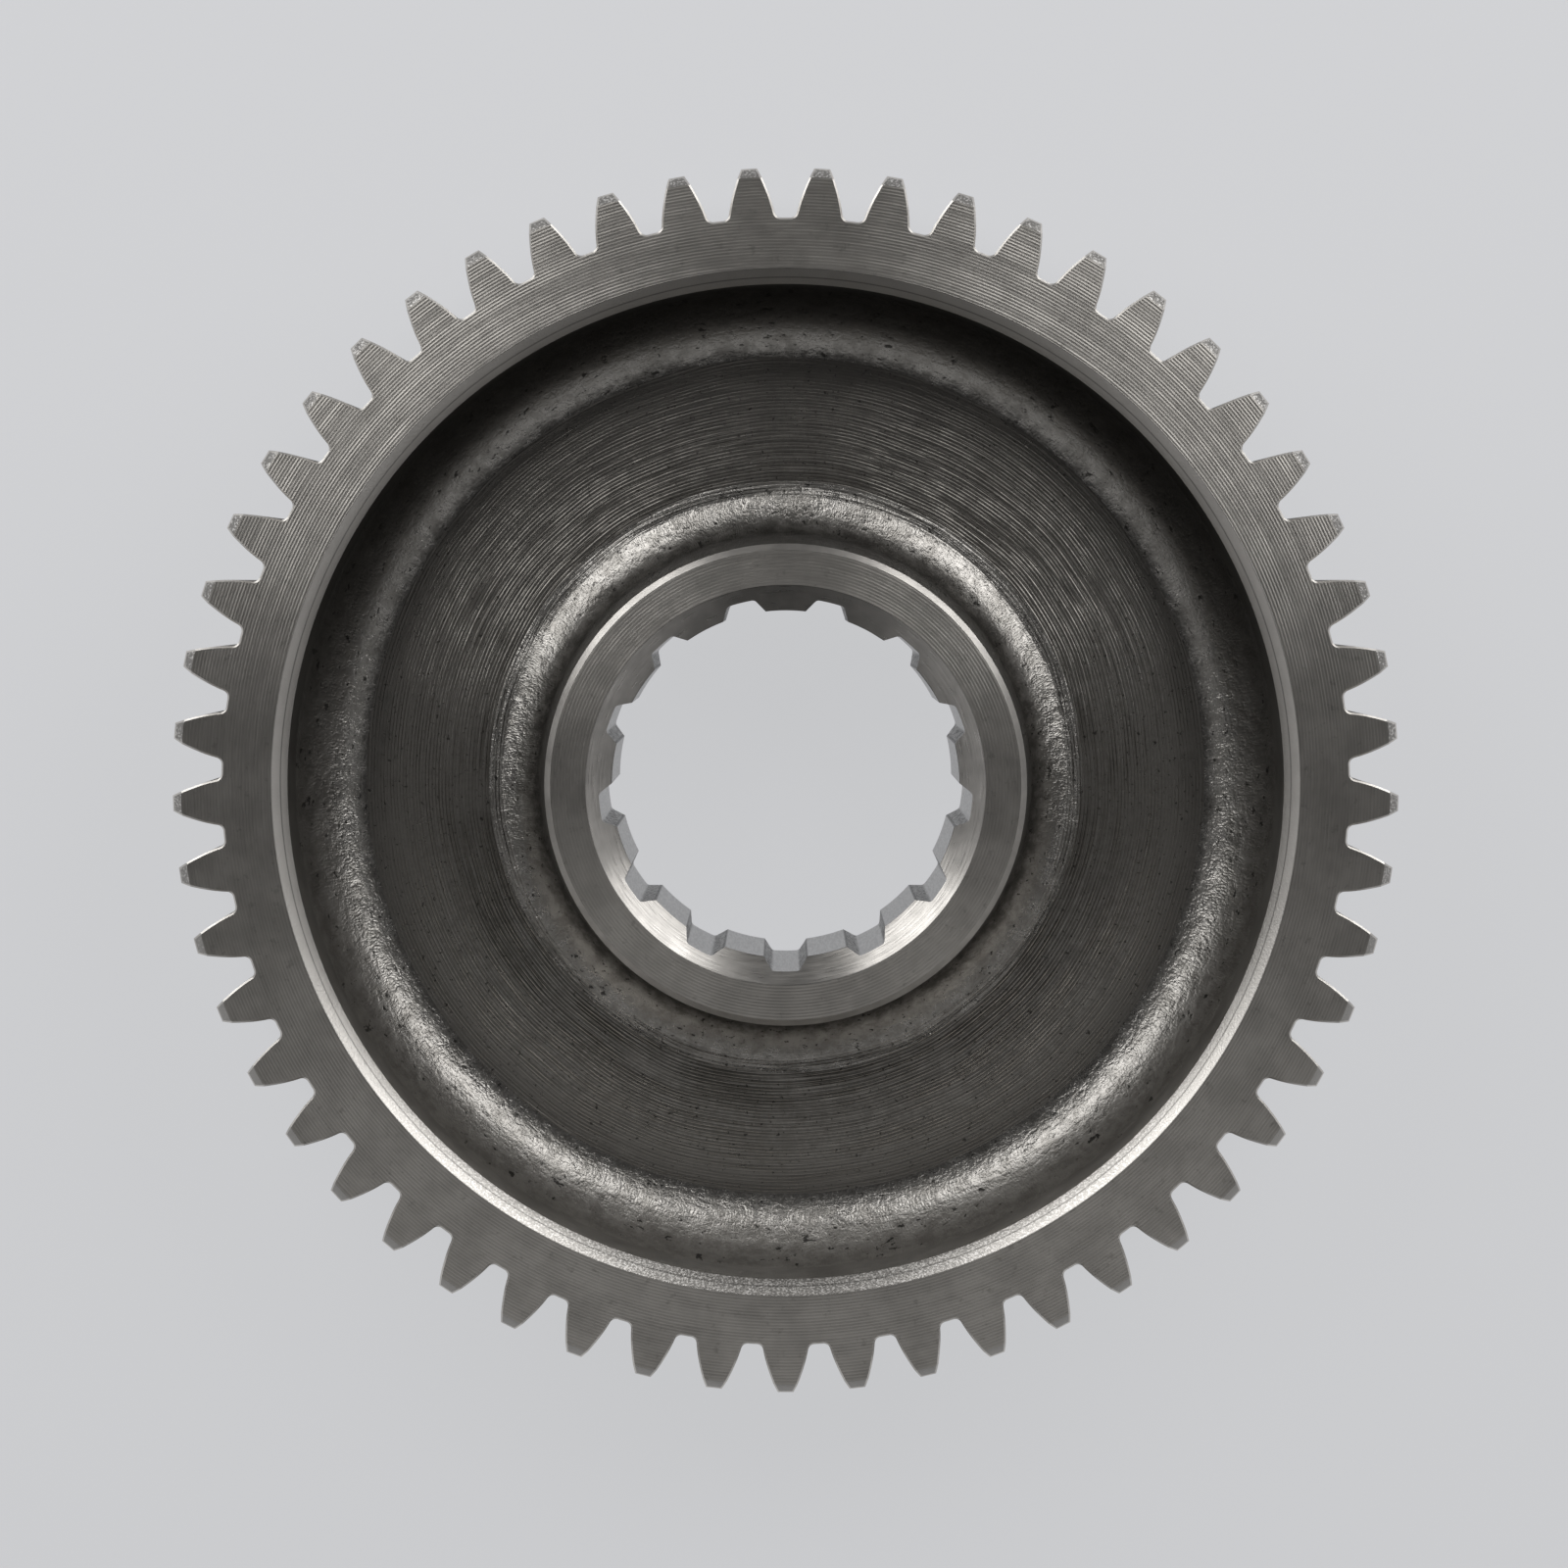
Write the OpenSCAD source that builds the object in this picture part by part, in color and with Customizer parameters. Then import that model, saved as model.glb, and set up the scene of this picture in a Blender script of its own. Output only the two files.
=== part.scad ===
// Spur reduction gear: a forged and turned wheel with a toothed rim, a deep front
// recess, a thin web and a splined hub. Its axis is on +Z and it lies on the back
// face of its hub, with the recess facing up.

/* [Teeth] */
// Number of teeth
teeth = 53; // [47:1:65]
// Tooth module, which is the pitch diameter over the number of teeth
tooth_module = 4; // [3.5:0.25:4.75]
// Pressure angle of the tooth flanks, in degrees
pressure_angle = 20; // [17:0.5:24]
// Thinning of each tooth at the pitch circle, for running clearance
backlash = 0.3; // [0:0.05:0.5]
// Radius of the fillet at the foot of each flank
root_fillet = 1.2; // [0.6:0.1:1.4]
// Chamfer round the tooth tips, at both ends of each tooth
tip_chamfer = 1.8; // [0.6:0.1:2.6]

/* [Rim] */
// Length of the teeth along the axis
face_width = 40; // [34:0.5:52]
// Wall of the rim, from the foot of the teeth to the recess
rim_wall = 11.5; // [9:0.5:16]
// Radial width of the outer chamfer at the mouth of the recess
lip_chamfer = 1.5; // [0.8:0.1:2.4]
// Radial width of the steeper inner chamfer at the mouth of the recess
lip_step = 1.1; // [0.4:0.1:1.6]
// Slope of the inner chamfer against the face, in degrees
lip_step_angle = 51; // [45:1:70]

/* [Web] */
// Thickness of the web between the hub and the rim
web_thickness = 9.5; // [6:0.5:14]
// Depth of the shallow recess at the back
back_recess = 3.5; // [2:0.5:6]
// Radius of the forged fillet between the web and the rim, at the front
rim_fillet = 13; // [5:0.5:14]
// Angle at which that fillet meets the turned web, in degrees
rim_crease = 6; // [2:1:20]
// Radius of the forged fillet at the foot of the hub wall, at the front
hub_fillet = 7.5; // [3:0.5:11]
// Radius of the wider sweep that leads from the web up into that fillet
hub_sweep = 15; // [8:0.5:20]
// Slope at which the sweep passes into the fillet, in degrees
hub_turn = 30; // [20:1:45]
// Angle at which the sweep meets the turned web, in degrees
hub_crease = 5; // [2:1:15]
// Radius of the fillet between the web and the hub, at the back
back_fillet = 3; // [1:0.25:4]

/* [Hub] */
// Diameter of the hub at its faces
hub_diameter = 86.5; // [80:0.5:98]
// Height by which the hub stands out of the rim at the back
hub_rise = 4; // [1:0.5:10]
// Draft of the forged hub wall in the recess, in degrees
hub_draft = 6; // [1:0.5:8]
// Chamfer round the edges of the hub faces
hub_chamfer = 1.1; // [0.4:0.1:2]

/* [Spline] */
// Number of grooves in the bore
splines = 13; // [8:1:18]
// Diameter of the bore across the lands between the grooves
bore_diameter = 62.6; // [54:0.2:68]
// Depth of the grooves
groove_depth = 2.3; // [1.4:0.1:3.2]
// Width of a groove at its floor
groove_floor = 5; // [3:0.1:6.5]
// Width of a groove at its mouth
groove_mouth = 7.9; // [7:0.1:9]
// Chamfer at both ends of the bore
bore_chamfer = 4.6; // [3.4:0.1:5]

/* [Hidden] */

// Smoothness of the round surfaces
$fn = 180;
// Overrun of each cut past the surface that it leaves through
over = 1;
// Points on each tooth flank and on each root fillet
flank_points = 5;
fillet_points = 3;
// Steps along each arc of the section
arc_steps = 7;

// Circles of the teeth
pitch_r = tooth_module * teeth / 2;
base_r = pitch_r * cos(pressure_angle);
tip_r = pitch_r + tooth_module;
root_r = pitch_r - 1.25 * tooth_module;

// Radii of the recess and of the hub
recess_r = root_r - rim_wall;
hub_r = hub_diameter / 2;
bore_r = bore_diameter / 2;
groove_r = bore_r + groove_depth;
mouth_r = bore_r + bore_chamfer;

// Heights, from the back face of the hub upwards
rim_back_z = hub_rise;
web_back_z = rim_back_z + back_recess;
web_front_z = web_back_z + web_thickness;
front_z = rim_back_z + face_width;

// Involute function of an angle in degrees, also in degrees
function inv(a) = tan(a) * 180 / PI - a;

// Half of the angle that a tooth takes up on the circle of radius r
half_pitch_angle = 90 / teeth - backlash / pitch_r * 90 / PI;
function half_tooth(r) =
    half_pitch_angle + inv(pressure_angle) - inv(acos(min(1, base_r / r)));

function polar(r, a) = [r * cos(a), r * sin(a)];

// The root fillet is an arc that touches the root circle and runs smoothly into the
// flank. Its centre lies on the involute that stays root_fillet away from the flank.
fillet_c_r = root_r + root_fillet;
fillet_c_half = half_tooth(fillet_c_r) + root_fillet / base_r * 180 / PI;
fillet_turn = asin(min(1, base_r / fillet_c_r));
flank_foot_r = norm([base_r, sqrt(pow(fillet_c_r, 2) - pow(base_r, 2)) - root_fillet]);

// Points of the root fillet and of the flank on one side of the tooth at angle mid
function fillet_arc(mid, side) = [
    for (i = [0:fillet_points])
        let (centre_angle = mid + side * fillet_c_half,
             out = centre_angle + 180 + side * fillet_turn * i / fillet_points)
            polar(fillet_c_r, centre_angle) + polar(root_fillet, out)
];
function flank(mid, side) = [
    for (i = [1:flank_points])
        let (r = flank_foot_r + (tip_r - flank_foot_r) * i / flank_points)
            polar(r, mid + side * half_tooth(r))
];

// Whole outline of the tooth at angle mid, from its one root fillet to the other
function backwards(list) = [for (i = [len(list) - 1:-1:0]) list[i]];
function half_outline(mid, side) = concat(fillet_arc(mid, side), flank(mid, side));
function tooth(mid) = concat(half_outline(mid, -1), backwards(half_outline(mid, 1)));

module toothed_outline() {
    polygon([for (i = [0:teeth - 1]) each tooth(-90 + i * 360 / teeth)]);
}

// Run and rise along an arc of radius r while its slope grows from a to b
function along(r, a, b) = r * [sin(b) - sin(a), cos(a) - cos(b)];

// Fillet in the corner of the section at the point p, between the web and a wall that
// leans back by draft degrees, as points from the web to the wall. It leaves the web at
// the slope crease on an arc of radius sweep, and from the slope turn on it has the
// radius r. The web lies on the given side of the wall, and the wall runs up from it, or
// down if up is -1.
function fillet(p, r, side, draft = 0, crease = 0, sweep = 0, turn = 0, up = 1) =
    let (bend = max(crease, turn),
         swept = along(sweep, crease, bend),
         whole = swept + along(r, bend, 90 - draft),
         edge = p + [side * (whole[0] - whole[1] * tan(draft)), 0],
         steps = concat(
             [if (bend > crease) for (i = [0:arc_steps - 1])
                 along(sweep, crease, crease + (bend - crease) * i / arc_steps)],
             [for (i = [0:arc_steps])
                 swept + along(r, bend, bend + (90 - draft - bend) * i / arc_steps)]))
        [for (s = steps) edge + [-side * s[0], up * s[1]]];

// Foot of the drafted hub wall on the web, and the chamfers at the mouth of the recess
hub_foot_r = hub_r + (front_z - hub_chamfer - web_front_z) * tan(hub_draft);
lip_z = front_z - lip_chamfer;
step_z = lip_z - lip_step * tan(lip_step_angle);

// Half section of the wheel without its teeth and grooves: radius across, height up
module section() {
    back_of_web = backwards(fillet([hub_r, web_back_z], back_fillet, 1, up = -1));
    rim_side = backwards(fillet([recess_r, web_front_z], rim_fillet, -1, 0, rim_crease));
    hub_side = fillet([hub_foot_r, web_front_z], hub_fillet, 1, hub_draft, hub_crease,
        hub_sweep, hub_turn);
    polygon([
        [bore_r, bore_chamfer],
        [mouth_r, 0],
        [hub_r - hub_chamfer, 0],
        [hub_r, hub_chamfer],
        each back_of_web,
        [recess_r, web_back_z],
        [recess_r + back_recess, rim_back_z],
        [tip_r - tip_chamfer, rim_back_z],
        [tip_r, rim_back_z + tip_chamfer],
        [tip_r, front_z - tip_chamfer],
        [tip_r - tip_chamfer, front_z],
        [recess_r + lip_step + lip_chamfer, front_z],
        [recess_r + lip_step, lip_z],
        [recess_r, step_z],
        each rim_side,
        each hub_side,
        [hub_r, front_z - hub_chamfer],
        [hub_r - hub_chamfer, front_z],
        [mouth_r, front_z],
        [bore_r, front_z - bore_chamfer]
    ]);
}

// One groove of the spline, centred on the -Y side
module groove() {
    half_floor = groove_floor / 2;
    half_mouth = groove_mouth / 2;
    slope = (half_mouth - half_floor) / groove_depth;
    polygon([
        [-half_floor + slope * over, -groove_r - over],
        [half_floor - slope * over, -groove_r - over],
        [half_mouth + slope * over, -bore_r + over],
        [-half_mouth - slope * over, -bore_r + over]
    ]);
}

module spline_grooves() {
    translate([0, 0, -over])
        linear_extrude(front_z + 2 * over)
            intersection() {
                circle(groove_r);
                for (i = [0:splines - 1]) rotate(i * 360 / splines) groove();
            }
}

module reduction_gear() {
    color("dimgray")
        difference() {
            intersection() {
                rotate_extrude() section();
                translate([0, 0, -over]) linear_extrude(front_z + 2 * over) toothed_outline();
            }
            spline_grooves();
        }
}

reduction_gear();
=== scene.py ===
# Looks of the reduction gear: one steel wheel that lies on the back face of its hub,
# with its recess facing up and the camera above it. Lengths are in millimetres until
# the mesh is made, and the frame's +Z is the gear's axis.
import math

import bmesh
import bpy
import numpy as np
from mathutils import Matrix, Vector, noise


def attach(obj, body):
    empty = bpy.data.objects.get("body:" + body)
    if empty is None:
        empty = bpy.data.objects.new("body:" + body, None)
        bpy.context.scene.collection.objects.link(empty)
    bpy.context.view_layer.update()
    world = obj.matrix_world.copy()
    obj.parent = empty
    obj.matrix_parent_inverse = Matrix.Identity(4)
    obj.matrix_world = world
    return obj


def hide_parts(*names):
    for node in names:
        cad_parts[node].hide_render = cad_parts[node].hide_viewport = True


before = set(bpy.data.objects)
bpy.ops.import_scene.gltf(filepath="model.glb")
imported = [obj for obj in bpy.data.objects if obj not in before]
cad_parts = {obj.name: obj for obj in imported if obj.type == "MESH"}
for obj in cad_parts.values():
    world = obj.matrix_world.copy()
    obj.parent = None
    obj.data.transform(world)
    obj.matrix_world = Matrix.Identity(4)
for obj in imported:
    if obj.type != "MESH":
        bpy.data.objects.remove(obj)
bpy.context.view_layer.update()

MM = 0.001
TAU = 2 * math.pi

# Teeth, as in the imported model
TEETH = 53
MODULE = 4.0
PRESSURE = math.radians(20)
BACKLASH = 0.3
ROOT_FILLET = 1.2
TIP_CHAMFER = 1.8
# Small chamfer left by deburring along the ends of the flanks and roots
BURR = 0.32

# Heights and radii of the wheel
HUB_RISE = 4.0
FACE_WIDTH = 40.0
BACK_RECESS = 3.5
WEB_THICKNESS = 9.5
RIM_WALL = 11.5
LIP_CHAMFER = 1.5
LIP_STEP = 1.1
LIP_STEP_ANGLE = math.radians(51)
RIM_FILLET = 13.0
RIM_CREASE = math.radians(6)
HUB_FILLET = 7.5
HUB_SWEEP = 15.0
HUB_TURN = math.radians(30)
HUB_CREASE = math.radians(5)
BACK_FILLET = 3.0
HUB_R = 43.25
HUB_DRAFT = math.radians(6)
HUB_CHAMFER = 1.1

# Spline
SPLINES = 13
BORE_R = 31.3
GROOVE_DEPTH = 2.3
GROOVE_FLOOR = 5.0
GROOVE_MOUTH = 7.9
GROOVE_CORNER = 0.5
BORE_CHAMFER = 4.6

PITCH_R = MODULE * TEETH / 2
BASE_R = PITCH_R * math.cos(PRESSURE)
TIP_R = PITCH_R + MODULE
ROOT_R = PITCH_R - 1.25 * MODULE
CREASE_R = TIP_R - TIP_CHAMFER
RECESS_R = ROOT_R - RIM_WALL
LIP_R = RECESS_R + LIP_STEP + LIP_CHAMFER
GROOVE_R = BORE_R + GROOVE_DEPTH
MOUTH_R = BORE_R + BORE_CHAMFER
BACK_Z = HUB_RISE
WEB_BACK_Z = BACK_Z + BACK_RECESS
WEB_Z = WEB_BACK_Z + WEB_THICKNESS
TOP_Z = BACK_Z + FACE_WIDTH
LIP_Z = TOP_Z - LIP_CHAMFER
STEP_Z = LIP_Z - LIP_STEP * math.tan(LIP_STEP_ANGLE)
HUB_FOOT_R = HUB_R + (TOP_Z - HUB_CHAMFER - WEB_Z) * math.tan(HUB_DRAFT)

# Distances of the rings that keep a face flat: beside the hub's fillet, round the mouth
# of the bore and inside the roots of the teeth
CREASE_GUARD = 0.15
MOUTH_GUARD = 2.5
ROOT_GUARD = 3.0

# Edges that turn by more than this are drawn sharp
SHARP_ANGLE = math.radians(24)

# Vertices round the front and the back of the turned body
FRONT_RING = TEETH * 16
BACK_RING = TEETH * 8

# Finishes of the one mesh, in the order of its material slots
FACE, FLANK, CHAMFER, TIP, LIP, WALL, FORGED, WEB, SPLINE, MOUTH = range(10)


# Teeth

def inv(angle):
    return math.tan(angle) - angle


def half_tooth(r):
    """Half of the angle that a tooth takes up on the circle of radius r."""
    half_pitch = math.pi / (2 * TEETH) - BACKLASH / (2 * PITCH_R)
    return half_pitch + inv(PRESSURE) - inv(math.acos(min(1.0, BASE_R / r)))


def polar(r, a):
    return np.array([r * math.cos(a), r * math.sin(a)])


def repeated(points, count):
    """The points in count even places round the axis, the first with its +X on -Y."""
    loops = []
    for i in range(count):
        a = -math.pi / 2 + TAU * i / count
        turn = np.array([[math.cos(a), math.sin(a)], [-math.sin(a), math.cos(a)]])
        loops.append(points @ turn)
    return np.concatenate(loops)


def half_profile():
    """One side of a tooth as (x, y) points, from the middle of the gap to the tip's corner.
    The tooth's centre line is on +X, and this side has negative angles."""
    centre_r = ROOT_R + ROOT_FILLET
    centre_a = half_tooth(centre_r) + ROOT_FILLET / BASE_R
    turn = math.asin(BASE_R / centre_r)
    foot_r = math.hypot(BASE_R, math.sqrt(centre_r ** 2 - BASE_R ** 2) - ROOT_FILLET)
    points = [polar(ROOT_R, a) for a in np.linspace(-math.pi / TEETH, -centre_a, 4)[:-1]]
    for t in np.linspace(0, turn, 8):
        points.append(polar(centre_r, -centre_a)
                      + polar(ROOT_FILLET, -centre_a + math.pi - t))
    flank = np.linspace(foot_r, CREASE_R, 10)[1:]
    end = np.linspace(CREASE_R, TIP_R, 3)[1:]
    return points + [polar(r, -half_tooth(r)) for r in (*flank, *end)]


def tooth_outline():
    """The closed outline of the teeth, counter-clockwise, with a tooth centred on -Y."""
    side = half_profile()
    corner = half_tooth(TIP_R)
    tip = [polar(TIP_R, a) for a in np.linspace(-corner, corner, 6)[1:-1]]
    other = [p * (1, -1) for p in reversed(side[1:])]
    return repeated(np.array(side + tip + other), TEETH)


def inset(loop, distance):
    """The closed counter-clockwise loop moved inwards by distance."""
    ahead = np.roll(loop, -1, axis=0) - loop
    ahead /= np.linalg.norm(ahead, axis=1)[:, None]
    left = np.stack([-ahead[:, 1], ahead[:, 0]], axis=1)
    before = np.roll(left, 1, axis=0)
    share = 1 + (left * before).sum(axis=1)
    return loop + distance * (left + before) / share[:, None]


# Spline

def spline_outline():
    """The closed outline of the splined bore, counter-clockwise, with a groove on -Y."""
    half_floor, half_mouth = GROOVE_FLOOR / 2, GROOVE_MOUTH / 2
    floor_a = math.asin(half_floor / GROOVE_R)
    mouth_a = math.asin(half_mouth / BORE_R)
    corner = polar(GROOVE_R, -floor_a)
    along_floor = polar(GROOVE_R, -floor_a + GROOVE_CORNER / GROOVE_R)
    mouth = polar(BORE_R, -mouth_a)
    up_flank = corner + (mouth - corner) * GROOVE_CORNER / np.linalg.norm(mouth - corner)
    bend = [(1 - t) ** 2 * up_flank + 2 * t * (1 - t) * corner + t * t * along_floor
            for t in np.linspace(0, 1, 5)]
    land = [polar(BORE_R, a) for a in np.linspace(-math.pi / SPLINES, -mouth_a, 6)]
    flank = [mouth + (up_flank - mouth) * t for t in (0.34, 0.67)]
    floor_half = floor_a - GROOVE_CORNER / GROOVE_R
    floor = [polar(GROOVE_R, a) for a in np.linspace(-floor_half, floor_half, 6)[1:-1]]
    side = land + flank + bend
    other = [p * (1, -1) for p in reversed(side[1:])]
    return repeated(np.array(side + floor + other), SPLINES)


# Section of the turned body

def fillet(corner, arcs, side, draft=0.0, crease=0.0, up=1):
    """Points of a fillet of the section, from the web to the wall, as (radius, height).
    Each of the arcs is its radius, the slope that it ends at and its number of steps."""
    points = [(0.0, 0.0)]
    slope = crease
    for r, end, steps in arcs:
        run, rise = points[-1]
        for t in np.linspace(slope, end, steps + 1)[1:]:
            points.append((run + r * (math.sin(t) - math.sin(slope)),
                           rise + r * (math.cos(slope) - math.cos(t))))
        slope = end
    run, rise = points[-1]
    start = corner[0] + side * (run - rise * math.tan(draft))
    return [(start - side * x, corner[1] + up * z) for x, z in points]


def between(a, b, steps):
    """Points from a to b, without a and with b."""
    return [(a[0] + (b[0] - a[0]) * i / steps, a[1] + (b[1] - a[1]) * i / steps)
            for i in range(1, steps + 1)]


def front_section():
    """The front from the hub's face out to the rim's face: points, and the finish of each
    stretch that ends at a point."""
    upright = math.pi / 2
    hub_side = fillet((HUB_FOOT_R, WEB_Z),
                      [(HUB_SWEEP, HUB_TURN, 9), (HUB_FILLET, upright - HUB_DRAFT, 9)],
                      1, HUB_DRAFT, HUB_CREASE)
    hub_side.reverse()
    rim_side = fillet((RECESS_R, WEB_Z), [(RIM_FILLET, upright, 20)], -1, crease=RIM_CREASE)
    rows = [((MOUTH_R + MOUTH_GUARD, TOP_Z), FACE), ((HUB_R - HUB_CHAMFER, TOP_Z), FACE),
            ((HUB_R, TOP_Z - HUB_CHAMFER), CHAMFER)]
    rows += [(p, FORGED) for p in between(rows[-1][0], hub_side[0], 6)]
    rows += [(p, FORGED) for p in hub_side[1:]]
    flat = (hub_side[-1][0] + CREASE_GUARD, WEB_Z)
    rows += [(flat, WEB)]
    rows += [(p, WEB) for p in between(flat, rim_side[0], 12)]
    rows += [(p, FORGED) for p in rim_side[1:]]
    rows += [(p, WALL) for p in between(rim_side[-1], (RECESS_R, STEP_Z), 3)]
    rows += [((RECESS_R + LIP_STEP, LIP_Z), LIP), ((LIP_R, TOP_Z), LIP),
             ((ROOT_R - ROOT_GUARD, TOP_Z), FACE)]
    return rows


def back_section():
    """The back from the rim's face in to the hub's face, as front_section gives it."""
    corner = fillet((HUB_R, WEB_BACK_Z), [(BACK_FILLET, math.pi / 2, 8)], 1, up=-1)
    rows = [((ROOT_R - ROOT_GUARD, BACK_Z), FACE), ((RECESS_R + BACK_RECESS, BACK_Z), FACE),
            ((RECESS_R, WEB_BACK_Z), CHAMFER)]
    rows += [(p, WEB) for p in between(rows[-1][0], corner[0], 4)]
    rows += [(p, WEB) for p in corner[1:]]
    rows += [((HUB_R, HUB_CHAMFER), WEB), ((HUB_R - HUB_CHAMFER, 0), CHAMFER),
             ((MOUTH_R + MOUTH_GUARD, 0), FACE)]
    return rows


# Mesh

class Shell:
    """A closed surface made of rings of points that are joined one to the next."""

    def __init__(self):
        self.points = []
        self.faces = []
        self.finishes = []

    def ring(self, xyz):
        first = len(self.points)
        self.points.extend(xyz)
        return np.arange(first, len(self.points))

    def face(self, corners, finish):
        corners = list(dict.fromkeys(int(c) for c in corners))
        if len(corners) > 2:
            self.faces.append(corners)
            self.finishes.append(finish)

    def band(self, a, b, finish):
        """Joins two rings that have as many points each."""
        for i in range(len(a)):
            j = (i + 1) % len(a)
            self.face((a[i], a[j], b[j], b[i]), finish)

    def zip(self, a, b, finish):
        """Joins two rings of unlike count by triangles that follow their angles."""
        def angles(ring):
            at = np.array([self.points[i] for i in ring])
            return np.unwrap(np.arctan2(at[:, 1], at[:, 0]))
        turn_a, turn_b = angles(a), angles(b)
        shift = int(np.argmin(np.abs((turn_b - turn_a[0] + math.pi) % TAU - math.pi)))
        b = np.roll(b, -shift)
        turn_b = angles(b)
        turn_b += TAU * round((turn_a[0] - turn_b[0]) / TAU)
        i = j = 0
        while i < len(a) or j < len(b):
            next_a = turn_a[(i + 1) % len(a)] + TAU * ((i + 1) // len(a))
            next_b = turn_b[(j + 1) % len(b)] + TAU * ((j + 1) // len(b))
            here = (a[i % len(a)], b[j % len(b)])
            if j >= len(b) or (i < len(a) and next_a <= next_b):
                i += 1
                self.face((*here, a[i % len(a)]), finish)
            else:
                j += 1
                self.face((*here, b[j % len(b)]), finish)


def circle(r, z, count, lift=None):
    """Points of a circle. lift gives each point's move (outwards, upwards) by its place."""
    turns = -math.pi / 2 + TAU * np.arange(count) / count
    points = []
    for a in turns:
        out, up = lift(a) if lift else (0.0, 0.0)
        points.append(((r + out) * math.cos(a), (r + out) * math.sin(a), z + up))
    return points


def forged_height(x, y, z):
    """Unevenness of the forged skin, in millimetres."""
    broad = noise.fractal(Vector((x, y, z)) / 9.0, 0.8, 2.0, 2)
    fine = noise.fractal(Vector((x, y, z)) / 2.2, 0.6, 2.2, 3)
    return 0.10 * broad + 0.055 * fine


def revolved(shell, rows, count):
    """Adds the rings of a section and joins them. Returns the first and the last ring."""
    rings = []
    spots = [p for p, _ in rows]
    kinds = [k for _, k in rows]
    for i, ((r, z), kind) in enumerate(rows):
        lift = None
        forged = kind == FORGED and kinds[min(i + 1, len(rows) - 1)] == FORGED
        if forged and kinds[i - 1] == FORGED:
            (r0, z0), (r1, z1) = spots[i - 1], spots[i + 1]
            length = math.hypot(r1 - r0, z1 - z0)
            out, up = -(z1 - z0) / length, (r1 - r0) / length

            def lift(a, r=r, z=z, out=out, up=up):
                h = forged_height(r * math.cos(a), r * math.sin(a), z)
                return out * h, up * h
        rings.append(shell.ring(circle(r, z, count, lift)))
    for a, b, kind in zip(rings, rings[1:], kinds[1:]):
        shell.band(a, b, kind)
    return rings[0], rings[-1]


def with_z(xy, z):
    return [(x, y, h) for (x, y), h in zip(xy, np.broadcast_to(z, len(xy)))]


def tooth_end(shell, outline, z, into):
    """One end of the teeth: its deburred edge and its tip chamfers. z is the face's height,
    and into is -1 at the top or 1 at the bottom. Returns the outer and the inner ring."""
    edge = inset(outline, BURR)
    outer_r = np.hypot(*outline.T)
    edge_r = np.hypot(*edge.T)
    outer_drop = np.maximum(0, outer_r - CREASE_R) + BURR
    outer = shell.ring(with_z(outline, z + into * outer_drop))
    rim = shell.ring(with_z(edge, z + into * np.maximum(0, edge_r - CREASE_R)))
    shell.band(outer, rim, CHAMFER)
    past = edge_r > CREASE_R + 1e-6
    turn = np.arctan2(edge[:, 1], edge[:, 0])
    crease = CREASE_R * np.stack([np.cos(turn[past]), np.sin(turn[past])], axis=1)
    inner = rim.copy()
    inner[past] = shell.ring(with_z(crease, z))
    shell.band(rim, inner, TIP)
    return outer, inner


def bore_end(shell, outline, z, into):
    """One end of the bore: its wide chamfer. Returns the outer and the inner ring."""
    radii = np.hypot(*outline.T)
    inner = shell.ring(with_z(outline, z + into * (MOUTH_R - radii)))
    outer = shell.ring(with_z(outline / radii[:, None] * MOUTH_R, z))
    shell.band(inner, outer, MOUTH)
    return outer, inner


def build_gear():
    shell = Shell()
    teeth = tooth_outline()
    spline = spline_outline()
    top_mouth, top_spline = bore_end(shell, spline, TOP_Z, -1)
    hub_in, rim_out = revolved(shell, front_section(), FRONT_RING)
    shell.zip(top_mouth, hub_in, FACE)
    top_outer, top_inner = tooth_end(shell, teeth, TOP_Z, -1)
    shell.zip(rim_out, top_inner, FACE)
    back_outer, back_inner = tooth_end(shell, teeth, BACK_Z, 1)
    shell.band(top_outer, back_outer, FLANK)
    back_rim, back_hub = revolved(shell, back_section(), BACK_RING)
    shell.zip(back_inner, back_rim, FACE)
    back_mouth, back_spline = bore_end(shell, spline, 0.0, 1)
    shell.zip(back_hub, back_mouth, FACE)
    shell.band(back_spline, top_spline, SPLINE)

    mesh = bpy.data.meshes.new("gear")
    mesh.from_pydata([tuple(c * MM for c in p) for p in shell.points], [], shell.faces)
    mesh.polygons.foreach_set("material_index", shell.finishes)
    work = bmesh.new()
    work.from_mesh(mesh)
    loose = [v for v in work.verts if not v.link_faces]
    bmesh.ops.delete(work, geom=loose, context="VERTS")
    bmesh.ops.recalc_face_normals(work, faces=work.faces)
    open_edges = sum(1 for e in work.edges if len(e.link_faces) != 2)
    work.to_mesh(mesh)
    work.free()
    print("gear: faces", len(mesh.polygons), "open edges", open_edges)
    mesh.shade_smooth()
    mesh.set_sharp_from_angle(angle=SHARP_ANGLE)
    gear = bpy.data.objects.new("gear", mesh)
    bpy.context.collection.objects.link(gear)
    return gear


# Materials

def grey(level, warmth=0.0):
    """A grey of that level, tinted towards yellow by warmth."""
    return (level * (1 + 0.8 * warmth), level, level * (1 - 1.2 * warmth), 1.0)


class Nodes:
    """Adds linked nodes to one tree."""

    def __init__(self, tree):
        self.tree = tree

    def plug(self, node, sockets):
        """Gives each socket of the node its value, or links it where that is a socket."""
        for key, value in sockets.items():
            if isinstance(value, bpy.types.NodeSocket):
                self.tree.links.new(value, node.inputs[key])
            else:
                node.inputs[key].default_value = value

    def node(self, kind, sockets=None, **props):
        node = self.tree.nodes.new(kind)
        for key, value in props.items():
            setattr(node, key, value)
        self.plug(node, sockets or {})
        return node


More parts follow.
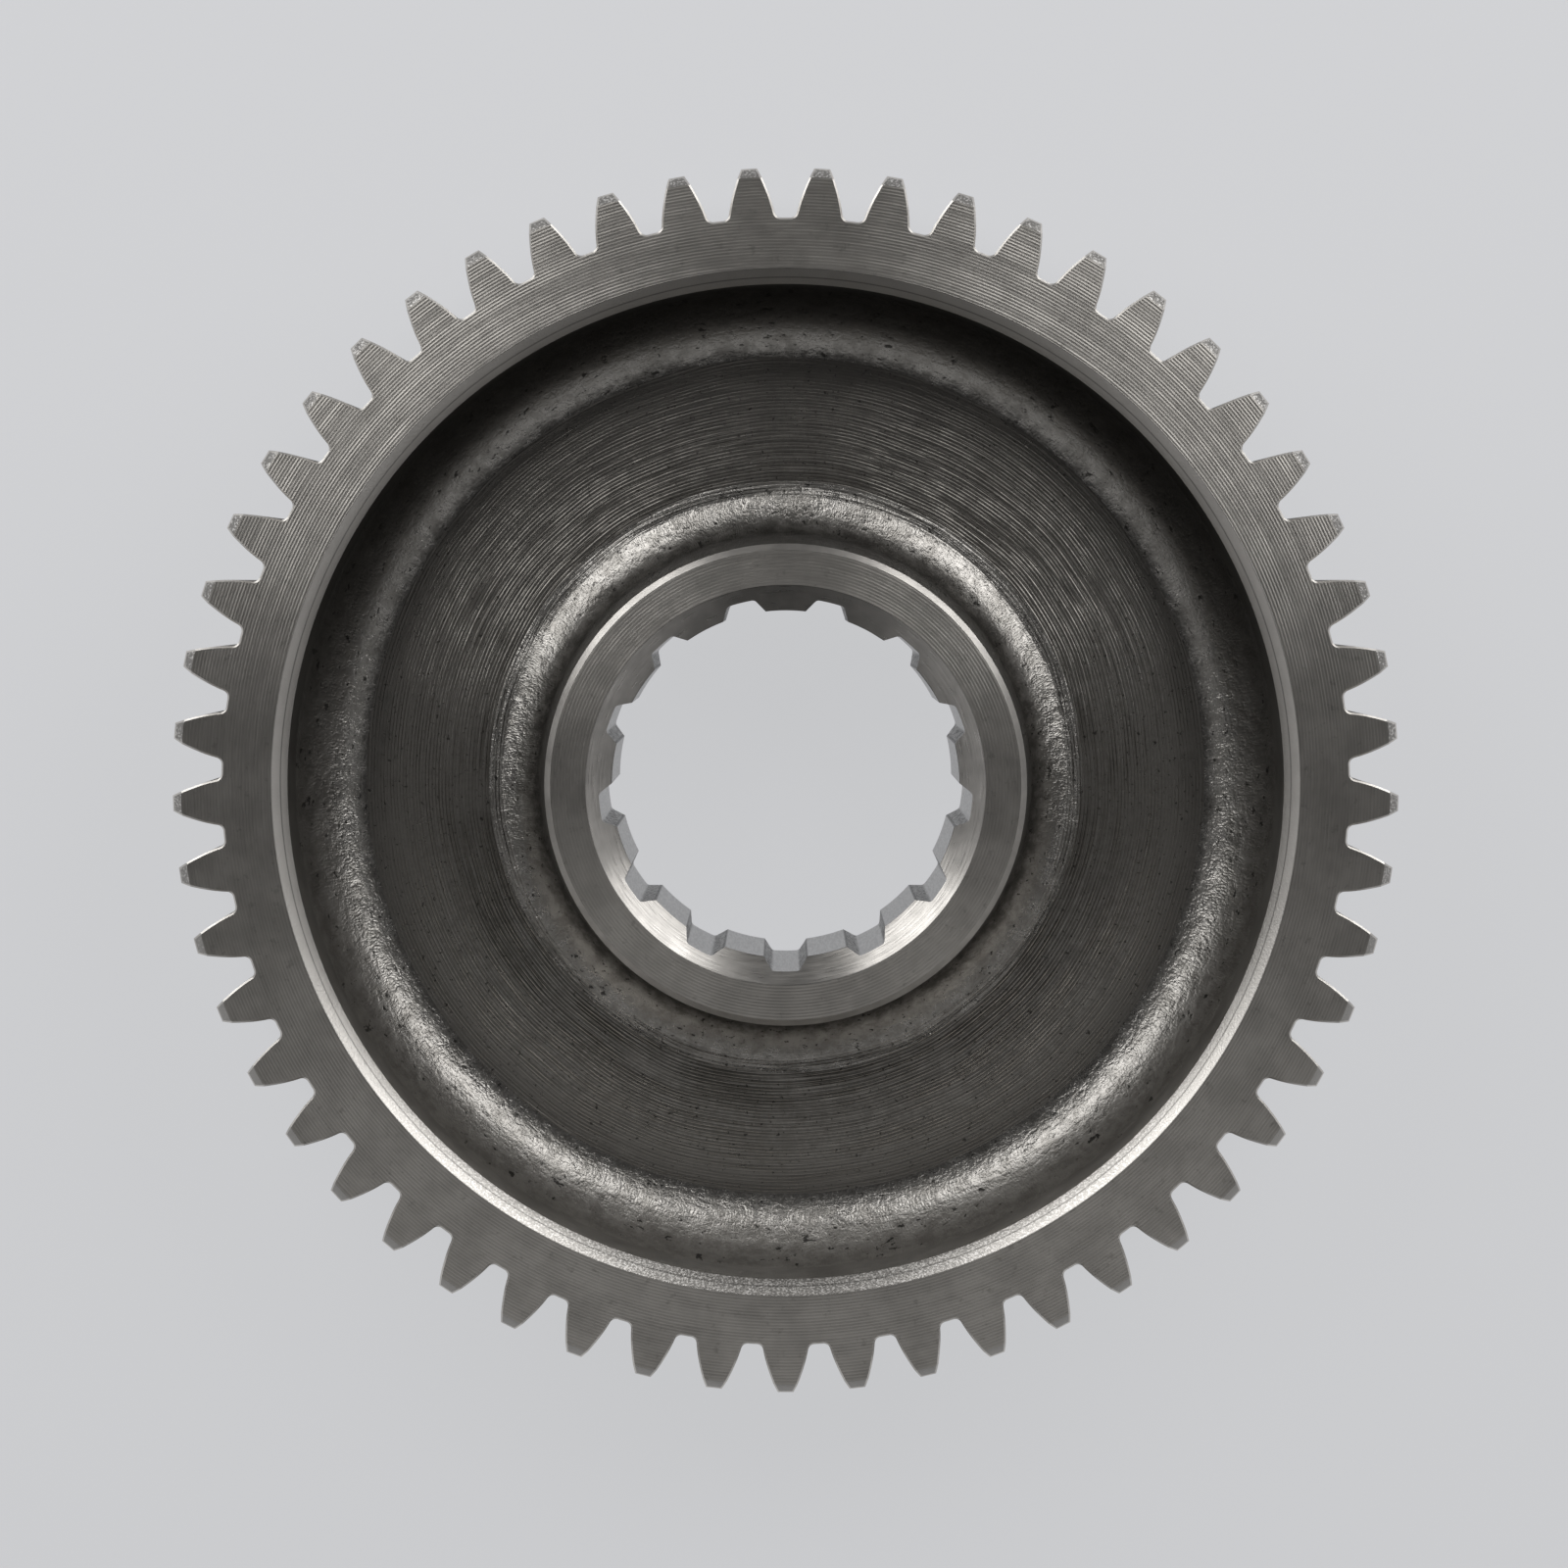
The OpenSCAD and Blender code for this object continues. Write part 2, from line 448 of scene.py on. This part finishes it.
class Shader(Nodes):
    """The nodes of one material, which end in a metal surface."""

    def __init__(self, name):
        self.material = bpy.data.materials.new(name)
        self.material.use_nodes = True
        super().__init__(self.material.node_tree)
        self.tree.nodes.clear()
        place = self.node("ShaderNodeTexCoord").outputs["Object"]
        self.at = self.vector("SCALE", place, scale=1 / MM)
        flat = self.vector("MULTIPLY", self.at, (1, 1, 0))
        self.r = self.vector("LENGTH", flat)
        self.around = self.vector("NORMALIZE", flat)

    def math(self, operation, a, b=0.0):
        return self.node("ShaderNodeMath", {0: a, 1: b}, operation=operation).outputs[0]

    def vector(self, operation, a, b=None, scale=None):
        sockets = {0: a}
        if b is not None:
            sockets[1] = b
        if scale is not None:
            sockets["Scale"] = scale
        node = self.node("ShaderNodeVectorMath", sockets, operation=operation)
        return node.outputs["Value" if operation == "LENGTH" else "Vector"]

    def noise(self, where, size, detail=2.0, roughness=0.5):
        """Noise from 0 to 1 whose features are about size millimetres across."""
        return self.node("ShaderNodeTexNoise", {
            "Vector": where, "Scale": 1 / size, "Detail": detail,
            "Roughness": roughness}).outputs["Fac"]

    def cells(self, where, size):
        """Height from 0 to about 1 of dents side by side, each about size across."""
        return self.node("ShaderNodeTexVoronoi", {
            "Vector": where, "Scale": 1 / size}).outputs["Distance"]

    def jitter(self, where, size, amount):
        """A wandering offset of up to about amount, for coordinates."""
        drift = self.node("ShaderNodeTexNoise", {
            "Vector": where, "Scale": 1 / size, "Detail": 1.0}).outputs["Color"]
        return self.vector("SCALE", self.vector("SUBTRACT", drift, (0.5, 0.5, 0.5)),
                           scale=amount * 2)

    def along(self, radius, around, across):
        """Coordinates on the ring of that radius: features scaled up by around along it and
        by across over it, with no seam."""
        ring = self.vector("SCALE", self.around, scale=radius / around)
        height = self.node("ShaderNodeCombineXYZ", {
            "Z": self.math("DIVIDE", self.r, across)})
        return self.vector("ADD", ring, height.outputs[0])

    def upper(self, low=-0.8, high=0.7):
        """0 on the -Y side of the wheel and 1 on the +Y side. low and high bound the change
        between them, on a scale from -1 at -Y to 1 at +Y."""
        parts = self.node("ShaderNodeSeparateXYZ", {0: self.around})
        return self.spread(parts.outputs["Y"], low, high)

    def line(self, radius, width):
        """1 on the circle of that radius, and 0 from half the width away from it on."""
        off = self.math("ABSOLUTE", self.math("SUBTRACT", self.r, radius))
        return self.spread(off, 0.0, width / 2, 1.0, 0.0)

    def spread(self, value, low, high, to_low=0.0, to_high=1.0):
        """to_low up to the value low and to_high from high on, with a soft step between."""
        return self.node("ShaderNodeMapRange", {
            "Value": value, "From Min": low, "From Max": high, "To Min": to_low,
            "To Max": to_high}, interpolation_type="SMOOTHSTEP").outputs["Result"]

    def mix(self, share, a, b):
        """The colour a where share is 0, and b where it is 1."""
        return self.node("ShaderNodeMix", {0: share, 6: a, 7: b}, data_type="RGBA",
                         clamp_factor=True).outputs[2]

    def bump(self, height, depth, normal=None):
        """Relief of that depth in millimetres for a height from 0 to 1."""
        sockets = {"Height": height, "Distance": depth * MM, "Strength": 1.0}
        if normal is not None:
            sockets["Normal"] = normal
        return self.node("ShaderNodeBump", sockets).outputs["Normal"]

    def grooves(self, pitch, steep=0.2, wander=0.0):
        """Turning marks round the axis: heights from 0 to 1 that climb slowly outwards over
        each pitch and fall back over its last share, steep."""
        r = self.r
        if wander:
            drift = self.noise(self.at, 30.0, detail=1.0)
            r = self.math("ADD", r, self.math("MULTIPLY", drift, wander))
        phase = self.math("FRACT", self.math("DIVIDE", r, pitch))
        climb = self.math("DIVIDE", phase, 1 - steep)
        fall = self.math("DIVIDE", self.math("SUBTRACT", 1.0, phase), steep)
        return self.math("MINIMUM", climb, fall)

    def finish(self, colour, roughness, normal=None, anisotropic=0.0, edge_tint=1.0):
        """Ends the material in metal. Where anisotropic, its marks run round the axis."""
        surface = self.node("ShaderNodeBsdfPrincipled", {
            "Base Color": colour, "Roughness": roughness, "Metallic": 1.0,
            "Specular Tint": grey(edge_tint), "Anisotropic": anisotropic,
            "Anisotropic Rotation": 0.25 if anisotropic else 0.0})
        if normal is not None:
            self.plug(surface, {"Normal": normal})
        if anisotropic:
            tangent = self.node("ShaderNodeTangent", direction_type="RADIAL", axis="Z")
            self.plug(surface, {"Tangent": tangent.outputs[0]})
        self.node("ShaderNodeOutputMaterial", {0: surface.outputs[0]})
        return self.material


# Pitches of the turning marks: those of the faces, and the two sets of the web that cross
FACE_PITCH = 0.57
WEB_PITCH = 0.62
CROSS_PITCH = 0.93
# Width of the dark lines at the edges of the lip and of the bore's mouth
EDGE_WIDTH = 0.36
# Radii between which darkening fades: painted shade out from the hub's edge and in to the
# rim's wall, dark scale from both ends of the rim's fillet, and painted shade in the web
# beside it
HUB_SHADE = (44.5, 49.0)
RIM_SHADE = (81.0, 86.0)
FILLET_SCALE_IN = (60.0, 62.0)
FILLET_SCALE_OUT = (77.5, 80.5)
CORNER_SHADE = (71.0, 77.5)
# Radii between which the web's turning marks start and end on the hub's fillet
MARKS_START = (51.5, 53.5)
MARKS_END = (58.0, 60.0)
# Radii between which the hub's wall turns glossy, and the rim's wall dull
HUB_GLOSS = (46.5, 51.0)
RIM_DULL = (81.5, 87.0)


def turned_face():
    """Finely turned steel of the front and back faces, with a few darker stains and painted
    shade in the valleys of its marks.
    """
    s = Shader("turned_face")
    lines = s.grooves(FACE_PITCH, steep=0.45, wander=0.25)
    strength = s.noise(s.along(95.0, 24.0, 1.2), 1.0, detail=1.0)
    strength = s.spread(strength, 0.25, 0.7, 0.4, 1.0)
    strength = s.math("MULTIPLY", strength, s.spread(s.r, 45.0, 46.0, 0.8, 1.0))
    height = s.math("MULTIPLY", lines, strength)
    grain = s.noise(s.along(95.0, 3.0, 0.12), 1.0, detail=1.0)
    mottle = s.noise(s.at, 7.0, detail=2.0, roughness=0.6)
    stain = s.noise(s.at, 2.2, detail=3.0, roughness=0.7)
    colour = s.mix(s.spread(mottle, 0.3, 0.7), grey(0.43, 0.06), grey(0.53, 0.06))
    colour = s.mix(s.spread(stain, 0.58, 0.72, 0.0, 0.4), colour, grey(0.20, 0.08))
    # Painted shade in the valleys of the turning marks
    valley_shade = s.math("MULTIPLY", s.spread(lines, 0.0, 0.45, 0.26, 0.0), strength)
    colour = s.mix(valley_shade, colour, grey(0.18, 0.06))
    rough = s.spread(grain, 0.2, 0.8, 0.30, 0.36)
    normal = s.bump(height, 0.038)
    return s.finish(colour, rough, normal, anisotropic=0.6)


def machined(name, level, rough, marks=0.0, grain=0.0, edges=(), uneven=0.2, scale=0.0,
             edge_tint=1.0, speckle=()):
    """Smooth cut steel. marks is the depth of fine turning lines, grain that of an even,
    sand-like unevenness, edges holds the radii of thin dark lines, uneven is the share by
    which the colour varies, scale is how dark the painted shade of the +Y side is,
    edge_tint dulls the reflections of a surface seen nearly edge-on, and speckle is the
    strength of the grain's dark and bright specks and the two heights for upper() that
    bound them."""
    s = Shader(name)
    line = s.noise(s.along(90.0, 14.0, 0.34), 1.0, detail=1.0, roughness=0.6)
    sand = s.noise(s.at, 0.4, detail=1.0)
    mottle = s.noise(s.at, 5.0, detail=2.0, roughness=0.6)
    colour = s.mix(s.spread(mottle, 0.3, 0.7), grey(level * (1 - uneven), 0.05),
                   grey(level, 0.05))
    if speckle:
        share, low, high = speckle
        where = s.math("MULTIPLY", s.upper(low, high), share)
        dark = s.math("MULTIPLY", s.spread(sand, 0.40, 0.56, 0.5, 0.0), where)
        colour = s.mix(dark, colour, grey(0.05, 0.05))
        bright = s.math("MULTIPLY", s.spread(sand, 0.54, 0.66), where)
        colour = s.mix(bright, colour, grey(0.95, 0.03))
    for radius in edges:
        edge = s.math("MULTIPLY", s.line(radius, EDGE_WIDTH), 0.6)
        colour = s.mix(edge, colour, grey(0.06, 0.06))
    # Painted shade on the +Y side
    if scale:
        colour = s.mix(s.math("MULTIPLY", s.upper(), scale), colour, grey(0.03, 0.06))
    rough = s.spread(sand if grain else line, 0.2, 0.8, rough * 0.85, rough * 1.15)
    normal = None
    if marks:
        normal = s.bump(line, marks)
    if grain:
        normal = s.bump(sand, grain, normal)
    return s.finish(colour, rough, normal, edge_tint=edge_tint)


def spline_wall():
    """Drawn steel of the bore, torn and darker on the sides of its grooves."""
    s = Shader("spline_wall")
    parts = s.node("ShaderNodeSeparateXYZ", {0: s.at})
    # Share of the spline's pitch from the middle of the nearest groove, from 0 to 0.5
    turn = s.math("ARCTAN2", parts.outputs["X"], parts.outputs["Y"])
    share = s.math("FRACT", s.math("MULTIPLY", turn, SPLINES / TAU))
    share = s.math("ABSOLUTE", s.math("SUBTRACT", share, 0.5))
    drawn = s.noise(s.vector("MULTIPLY", s.at, (1, 1, 0.08)), 0.35, detail=3.0)
    rough_patch = s.noise(s.at, 0.7, detail=4.0, roughness=0.7)
    sides = s.math("MULTIPLY", s.spread(share, 0.13, 0.17),
                   s.spread(share, 0.24, 0.27, 1.0, 0.0))
    colour = s.mix(s.spread(drawn, 0.3, 0.7), grey(0.30, 0.01), grey(0.42, 0.01))
    torn = s.math("MULTIPLY", sides, s.spread(rough_patch, 0.42, 0.60, 0.15, 0.85))
    colour = s.mix(torn, colour, grey(0.08, 0.02))
    edge = s.math("ABSOLUTE", s.math("SUBTRACT", share, 0.255))
    colour = s.mix(s.spread(edge, 0.006, 0.016, 0.9, 0.0), colour, grey(0.04, 0.02))
    normal = s.bump(drawn, 0.012)
    patches = s.math("MULTIPLY", rough_patch, s.spread(sides, 0.0, 1.0, 0.4, 1.0))
    normal = s.bump(patches, 0.08, normal)
    return s.finish(colour, s.spread(torn, 0.0, 1.0, 0.36, 0.65), normal)


def hub_marks(s):
    """Uneven turning marks of the web, and how strong each of them is there."""
    lines = s.grooves(WEB_PITCH, steep=0.3, wander=2.2)
    crossing = s.grooves(CROSS_PITCH, steep=0.4, wander=4.0)
    lines = s.math("MINIMUM", lines, s.spread(crossing, 0.0, 0.45, 0.35, 1.0))
    each = s.noise(s.along(65.0, 22.0, 0.8), 1.0, detail=1.0)
    return lines, s.spread(each, 0.34, 0.64, 0.35, 1.0)


def forged():
    """Forged skin of the fillets in the recess, with flakes, pits, dark scale and painted
    shade.
    """
    s = Shader("forged")
    # Short raised flakes that lie across the highlights
    bent = s.vector("ADD", s.along(80.0, 0.55, 0.9), s.jitter(s.at, 1.4, 0.8))
    chips = s.cells(bent, 0.8)
    pits = s.noise(s.along(80.0, 2.2, 0.9), 1.0, detail=3.0, roughness=0.65)
    oxide = s.noise(s.at, 4.0, detail=4.0, roughness=0.75)
    level = s.spread(oxide, 0.36, 0.62)
    colour = s.mix(level, grey(0.30, 0.06), grey(0.42, 0.05))
    colour = s.mix(s.spread(pits, 0.62, 0.68, 0.0, 0.85), colour, grey(0.03, 0.06))
    # Painted shade under the hub's edge and, on the +Y side, under the rim; dark scale
    # where the rim's fillet starts
    edge = s.math("ADD", s.r, s.spread(oxide, 0.3, 0.7, -0.7, 0.7))
    steep = s.math("ADD", s.spread(edge, *HUB_SHADE, 0.85, 0.0),
                   s.math("MULTIPLY", s.spread(edge, *RIM_SHADE), s.upper()))
    steep = s.math("ADD", steep, s.math("MULTIPLY", s.spread(edge, *FILLET_SCALE_IN),
                                        s.spread(edge, *FILLET_SCALE_OUT, 0.75, 0.0)))
    colour = s.mix(s.math("MULTIPLY", steep, 0.85), colour, grey(0.03, 0.07))
    # Turning marks run on from the web over the foot of the hub's fillet, with painted
    # shade in their valleys
    lines, each = hub_marks(s)
    turned = s.math("MULTIPLY", s.spread(s.r, *MARKS_START),
                    s.spread(s.r, *MARKS_END, 1.0, 0.0))
    turned = s.math("MULTIPLY", turned, each)
    colour = s.mix(s.math("MULTIPLY", turned, s.spread(lines, 0.0, 0.35, 0.85, 0.0)),
                   colour, grey(0.04, 0.05))
    uneven = s.spread(pits, 0.36, 0.60, 0.35, 1.3)
    normal = s.bump(s.math("MULTIPLY", chips, uneven), 0.047)
    normal = s.bump(pits, 0.05, normal)
    normal = s.bump(s.math("MULTIPLY", lines, turned), 0.12, normal)
    # The hub's wall and the rim's are duller than the highlights of the fillets
    rough = s.math("MAXIMUM", s.spread(oxide, 0.35, 0.65, 0.33, 0.26),
                   s.spread(s.r, *HUB_GLOSS, 0.48, 0.26))
    rough = s.math("MAXIMUM", rough, s.spread(s.r, *RIM_DULL, 0.26, 0.48))
    return s.finish(colour, rough, normal)


def web():
    """Roughly turned web, with painted shade in its valleys and on the +Y side and painted
    highlights on its crests.
    """
    s = Shader("web")
    lines, each = hub_marks(s)
    patches = s.noise(s.along(65.0, 14.0, 9.0), 1.0, detail=1.0)
    strength = s.math("MULTIPLY", s.spread(patches, 0.3, 0.55, 0.5, 1.0), each)
    # The marks are plainest next to the hub and fade before the rim
    strength = s.math("MULTIPLY", strength, s.spread(s.r, 60.0, 77.0, 1.0, 0.5))
    height = s.math("MULTIPLY", lines, strength)
    mottle = s.noise(s.at, 3.0, detail=4.0, roughness=0.78)
    spots = s.noise(s.at, 1.0, detail=2.0, roughness=0.7)
    colour = s.mix(s.spread(mottle, 0.36, 0.64), grey(0.24, 0.07), grey(0.34, 0.07))
    # Painted shade in the valleys of the marks
    valley_shade = s.math("MULTIPLY", s.spread(lines, 0.0, 0.4, 0.75, 0.0), strength)
    colour = s.mix(valley_shade, colour, grey(0.03, 0.06))
    # Painted highlights on the crests of the marks
    crest_highlight = s.math("MULTIPLY", s.spread(lines, 0.7, 1.0, 0.0, 0.3), strength)
    colour = s.mix(crest_highlight, colour, grey(0.50, 0.05))
    colour = s.mix(s.spread(spots, 0.62, 0.70, 0.0, 0.8), colour, grey(0.04, 0.08))
    # Painted shade on the +Y side of the web
    colour = s.mix(s.math("MULTIPLY", s.upper(0.1, 0.9), 0.45), colour, grey(0.04, 0.08))
    # Painted shade in the corner below the rim
    edge = s.math("ADD", s.r, s.spread(mottle, 0.3, 0.7, -2.5, 2.5))
    colour = s.mix(s.spread(edge, *CORNER_SHADE, 0.0, 0.3), colour, grey(0.04, 0.08))
    normal = s.bump(height, 0.125)
    normal = s.bump(mottle, 0.045, normal)
    rough = s.spread(mottle, 0.3, 0.7, 0.36, 0.27)
    return s.finish(colour, rough, normal, anisotropic=0.4)


def dress(gear):
    """Gives the mesh its materials, in the order of the finishes."""
    finishes = {
        FACE: turned_face(),
        FLANK: machined("tooth_flank", 0.38, 0.40, grain=0.02, uneven=0.05,
                        edge_tint=0.35),
        CHAMFER: machined("chamfer", 0.60, 0.34, grain=0.012),
        TIP: machined("tooth_tip", 0.30, 0.32, grain=0.016, uneven=0.08,
                      speckle=(0.5, -0.5, 0.1)),
        LIP: machined("lip", 0.56, 0.38, grain=0.03, edges=(RECESS_R + LIP_STEP, LIP_R),
                      uneven=0.06, speckle=(0.55, -0.4, -0.85)),
        # The wall's scale paints shade on its +Y side
        WALL: machined("recess_wall", 0.38, 0.42, marks=0.003, scale=0.95),
        FORGED: forged(),
        WEB: web(),
        SPLINE: spline_wall(),
        MOUTH: machined("bore_mouth", 0.47, 0.31, marks=0.03, edges=(MOUTH_R, BORE_R)),
    }
    for index in sorted(finishes):
        gear.data.materials.append(finishes[index])


# Camera, floor and light

# The camera's distance from the face, in metres
CAMERA_DISTANCE = 0.687
CAMERA_PITCH = math.radians(3.0)
SENSOR = 36.0
# Millimetres of the front face that one side of the square image spans, and the point of
# that face at the middle of the image
FRAME_WIDTH = 280.5
AIM = (-0.3, 0.3)
# Half of the floor's side, in metres
FLOOR_HALF = 3.0
# Distance of the softboxes from the middle of the face, in metres
SOFTBOX_DISTANCE = 0.6
# Brightness of the surroundings from the horizon to straight up, and the heights of the
# two levels in between
SKY_LEVELS = (0.80, 0.50, 0.10, 0.05)
SKY_STOPS = (0.18, 0.4)
# Where the floor's glow fades along Y, in metres, and its strength in front and behind
FLOOR_GLOW = (-1.10, -0.17, 0.34, 0.57)


def add_camera():
    target = Vector((*AIM, TOP_Z)) * MM
    away = Vector((0, math.sin(CAMERA_PITCH), math.cos(CAMERA_PITCH)))
    data = bpy.data.cameras.new("camera")
    data.sensor_width = SENSOR
    data.lens = SENSOR * CAMERA_DISTANCE / (FRAME_WIDTH * MM)
    data.clip_start = 0.01
    camera = bpy.data.objects.new("camera", data)
    camera.location = target + away * CAMERA_DISTANCE
    camera.rotation_euler = (-CAMERA_PITCH, 0, 0)
    bpy.context.collection.objects.link(camera)
    bpy.context.scene.camera = camera


def add_floor():
    """A pale floor that glows a little, as a light table does, and is dimmer in front."""
    corners = [(x * FLOOR_HALF, y * FLOOR_HALF, 0)
               for x, y in ((-1, -1), (1, -1), (1, 1), (-1, 1))]
    mesh = bpy.data.meshes.new("floor")
    mesh.from_pydata(corners, [], [(0, 1, 2, 3)])
    floor = bpy.data.objects.new("floor", mesh)
    bpy.context.collection.objects.link(floor)
    material = bpy.data.materials.new("floor")
    material.use_nodes = True
    nodes = Nodes(material.node_tree)
    place = nodes.node("ShaderNodeTexCoord")
    parts = nodes.node("ShaderNodeSeparateXYZ", {0: place.outputs["Object"]})
    glow = nodes.node("ShaderNodeMapRange", {
        "Value": parts.outputs["Y"],
        **dict(zip(("From Min", "From Max", "To Min", "To Max"), FLOOR_GLOW)),
    }, interpolation_type="SMOOTHSTEP")
    nodes.plug(nodes.tree.nodes["Principled BSDF"], {
        "Base Color": (0.10, 0.10, 0.104, 1), "Roughness": 0.9, "Specular IOR Level": 0.1,
        "Emission Color": (0.965, 0.975, 1.0, 1), "Emission Strength": glow.outputs[0]})
    mesh.materials.append(material)


def add_softbox(name, azimuth, polar_angle, width, height, radiance):
    """A rectangular light that faces the gear. Its azimuth is from +X and its polar angle
    from +Z, in degrees, and its sides are in metres."""
    a, p = math.radians(azimuth), math.radians(polar_angle)
    data = bpy.data.lights.new(name, "AREA")
    data.shape = "RECTANGLE"
    data.size = width
    data.size_y = height
    data.energy = radiance * math.pi * width * height
    light = bpy.data.objects.new(name, data)
    towards = Vector((math.sin(p) * math.cos(a), math.sin(p) * math.sin(a), math.cos(p)))
    light.location = towards * SOFTBOX_DISTANCE + Vector((0, 0, TOP_Z * MM))
    light.rotation_euler = towards.to_track_quat("Z", "Y").to_euler()
    bpy.context.collection.objects.link(light)


def add_world():
    """Soft surroundings: dim overhead, and paler towards the horizon on both sides."""
    world = bpy.data.worlds.new("studio")
    bpy.context.scene.world = world
    world.use_nodes = True
    nodes = Nodes(world.node_tree)
    direction = nodes.node("ShaderNodeTexCoord")
    parts = nodes.node("ShaderNodeSeparateXYZ", {0: direction.outputs["Generated"]})
    ramp = nodes.node("ShaderNodeValToRGB", {0: parts.outputs["Z"]})
    stops = ramp.color_ramp.elements
    for height in SKY_STOPS:
        stops.new(height)
    for stop, level in zip(stops, SKY_LEVELS):
        stop.color = (level, level, level * 1.02, 1)
    colour = ramp.outputs[0]
    # Dimmer towards -Y and +Y: where that starts and ends, and the share that is left
    for start, end, least in ((-0.7, -1.0, 0.05), (0.8, 1.0, 0.25)):
        shade = nodes.node("ShaderNodeMapRange", {
            "Value": parts.outputs["Y"], "From Min": end, "From Max": start,
            "To Min": least})
        colour = nodes.node("ShaderNodeVectorMath", {
            0: colour, "Scale": shade.outputs[0]}, operation="SCALE").outputs[0]
    nodes.plug(nodes.tree.nodes["Background"], {"Color": colour, "Strength": 1.0})


bpy.context.scene.view_settings.view_transform = "Standard"
add_camera()
add_floor()
add_world()
for side, azimuth in (("left", 134), ("right", 46)):
    add_softbox("softbox_" + side, azimuth, 62, width=0.44, height=0.68, radiance=2.7)
add_softbox("softbox_low", 270, 29, width=0.8, height=0.42, radiance=0.27)

gear = build_gear()
dress(gear)
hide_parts("reduction_gear")
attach(gear, "root")
